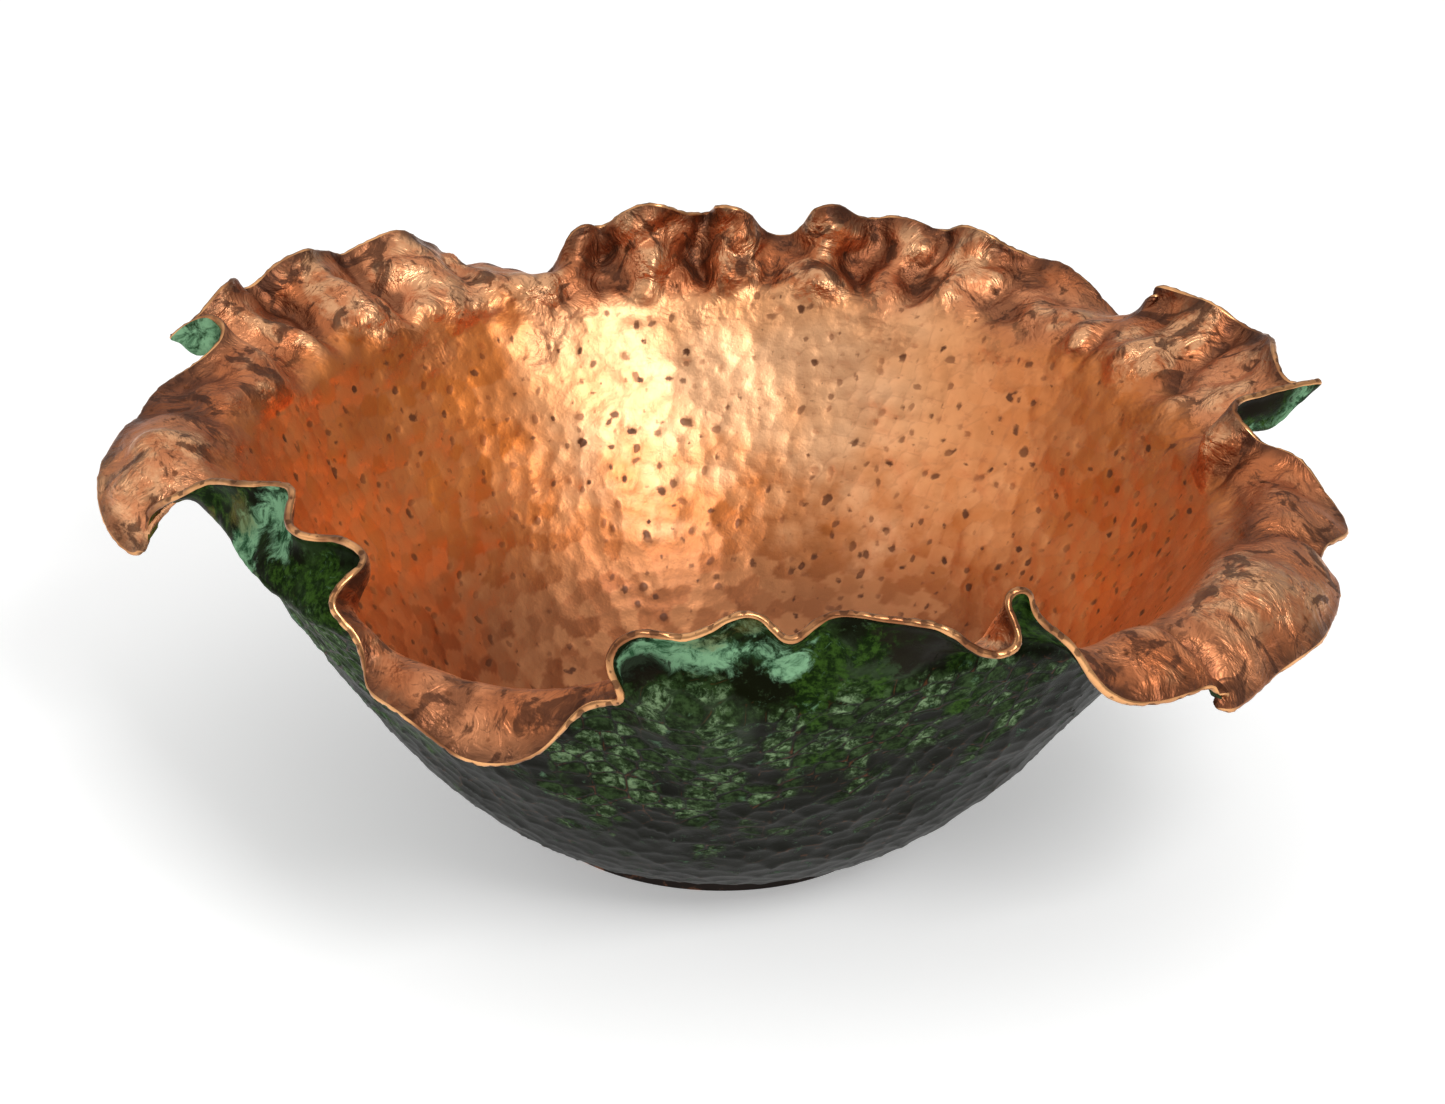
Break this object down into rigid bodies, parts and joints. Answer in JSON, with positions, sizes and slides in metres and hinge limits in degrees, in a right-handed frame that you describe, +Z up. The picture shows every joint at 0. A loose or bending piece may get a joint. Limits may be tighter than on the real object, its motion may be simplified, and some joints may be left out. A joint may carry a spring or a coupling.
{
  "type": "hammered copper bowl",
  "caption": "Hand-raised hammered copper bowl with a wide ruffled rim and a low foot ring; a centrepiece that holds fruit or stands alone.",
  "frame": {"origin": "centre of the foot ring's underside, on the table", "axes": "+Z up out of the bowl; +X to the right flap; -Y to the upright green wave at the front"},
  "size_m": [0.3718, 0.3273, 0.141],
  "materials": {
    "raised_copper": "hammered copper, polished inside, dark patina with green verdigris outside",
    "foot_copper": "dark patinated copper, rubbed bright at the edges",
    "solder": "dull brazing alloy under dark patina"
  },
  "bodies": {
    "root": {"bowl_shell": "raised_copper", "foot_ring": "foot_copper", "ring_seam": "solder", "solder_outside": "solder", "solder_inside": "solder"}
  },
  "joints": []
}
